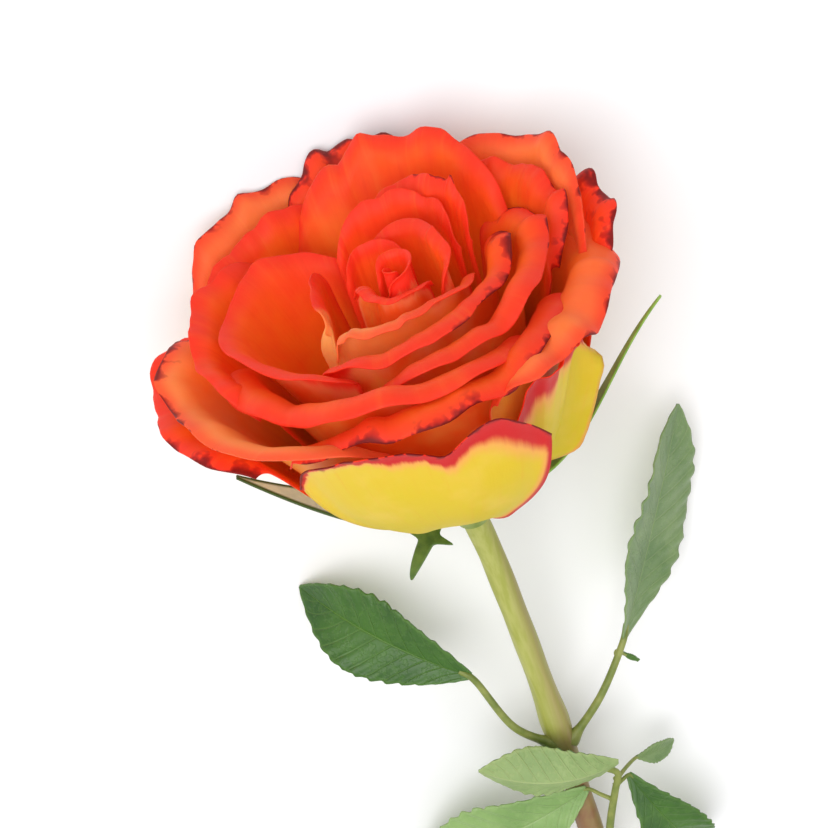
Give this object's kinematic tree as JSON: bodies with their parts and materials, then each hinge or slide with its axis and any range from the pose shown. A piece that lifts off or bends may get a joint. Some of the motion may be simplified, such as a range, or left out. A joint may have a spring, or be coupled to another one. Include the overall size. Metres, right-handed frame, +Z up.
{
  "type": "cut rose",
  "caption": "Single cut garden-style rose with layered orange petals, yellow outsides, sepals, a bare stem and leaves, lying on a table.",
  "frame": {"origin": "on the table under the middle of the rose's bounding box", "axes": "+X from the cut end of the stem towards the bloom, +Z up from the table it lies on, +Y to the left of the stem as seen from the cut end"},
  "size_m": [0.3008, 0.1014, 0.0773],
  "materials": {
    "petal": "velvety",
    "sepal": "satin",
    "receptacle": "satin",
    "stem": "satin",
    "leaf": "satin",
    "stalk": "satin"
  },
  "bodies": {
    "root": {"front_guard": "petal", "right_guard": "petal", "left_guard": "petal", "back_left_guard": "petal", "back_right_guard": "petal", "back_guard": "petal", "back_right_outer": "petal", "left_outer": "petal", "right_outer": "petal", "back_left_outer": "petal", "front_outer": "petal", "back_right_middle": "petal", "back_middle": "petal", "left_middle": "petal", "front_middle": "petal", "right_middle": "petal", "left_inner": "petal", "right_inner": "petal", "back_inner": "petal", "left_heart": "petal", "back_heart": "petal", "front_heart": "petal", "right_heart": "petal", "shade_heart": "petal", "lip_heart": "petal", "curl_heart": "petal", "bud_heart": "petal", "sepal_front": "sepal", "sepal_left": "sepal", "sepal_back_left": "sepal", "sepal_back_right": "sepal", "sepal_right": "sepal", "receptacle": "receptacle", "stem": "stem", "leaf_left_blade": "leaf", "leaf_right_blade": "leaf", "leaf_right_bract": "leaf", "lower_leaflet_tip": "leaf", "lower_leaflet_left": "leaf", "lower_leaflet_right": "leaf", "lower_leaflet_small": "leaf", "leaf_left_stalk": "stalk", "leaf_right_stalk": "stalk", "lower_leaf_stalk": "stalk"}
  },
  "joints": []
}
